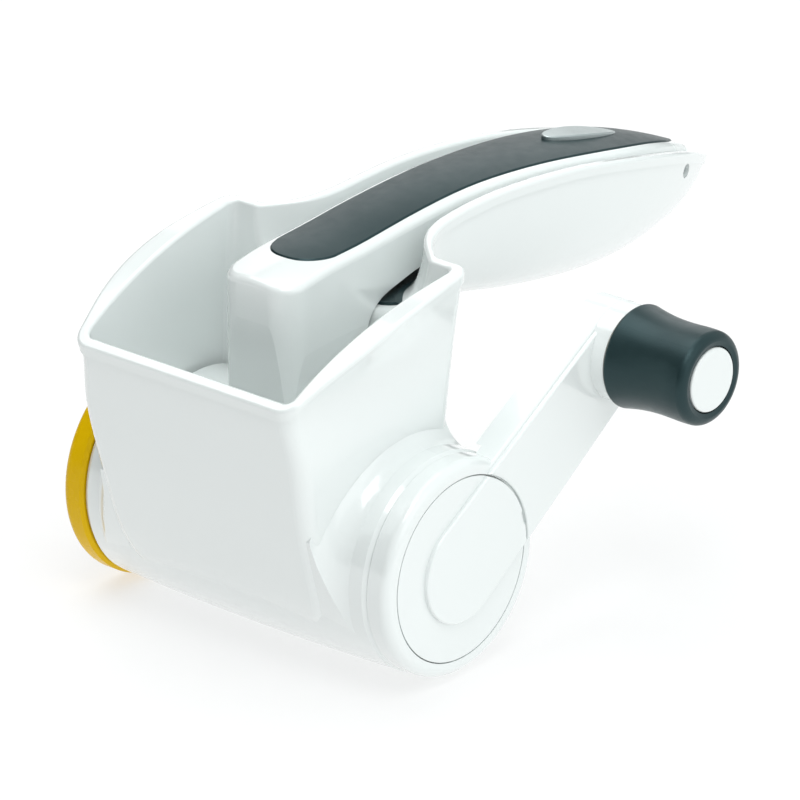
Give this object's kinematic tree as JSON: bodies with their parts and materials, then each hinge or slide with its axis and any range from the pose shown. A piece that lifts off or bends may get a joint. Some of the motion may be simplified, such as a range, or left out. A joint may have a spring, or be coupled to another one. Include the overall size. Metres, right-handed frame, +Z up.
{
  "type": "rotary drum grater",
  "caption": "Hand-held rotary grater: open hopper with a pivoting press arm in a boat-shaped handle, a turning drum open at one end, and a side crank with a waisted knob.",
  "frame": {"origin": "bottom centre of the bounding box in the resting pose", "axes": "+X along the drum axis towards the crank, +Y back along the handle, +Z up"},
  "size_m": [0.141, 0.2086, 0.1074],
  "materials": {
    "white_plastic": "gloss",
    "dark_rubber": "satin",
    "yellow_plastic": "gloss",
    "steel": "brushed",
    "satin_silver": "satin"
  },
  "bodies": {
    "housing": {"housing": "white_plastic", "handle_liner": "dark_rubber", "hinge_pin": "steel"},
    "press_arm": {"arm_shell": "white_plastic", "arm_under_cover": "white_plastic", "arm_grip_strip": "dark_rubber", "arm_badge": "satin_silver", "press_foot": "white_plastic"},
    "crank": {"drum_screen": "steel", "drum_open_ring": "yellow_plastic", "drum_drive_end": "yellow_plastic", "drive_shaft": "yellow_plastic", "crank_body": "white_plastic", "crank_cap": "white_plastic", "knob_axle": "steel", "knob_washer": "steel", "knob_screw": "steel"},
    "knob": {"knob_core": "yellow_plastic", "knob_grip": "dark_rubber", "knob_cap": "white_plastic"}
  },
  "joints": [
    {"name": "arm_hinge", "type": "hinge", "parent": "housing", "child": "press_arm", "pos_m": [-0.015, 0.08385, 0.0853], "axis": [-1, 0, 0], "range_deg": [0, 70]},
    {"name": "crank_spin", "type": "hinge", "parent": "housing", "child": "crank", "pos_m": [-0.015, -0.05965, 0.0303], "axis": [1, 0, 0], "continuous": true},
    {"name": "knob_spin", "type": "hinge", "parent": "crank", "child": "knob", "pos_m": [0.045, 0.00234, 0.07071], "axis": [1, 0, 0], "continuous": true}
  ]
}
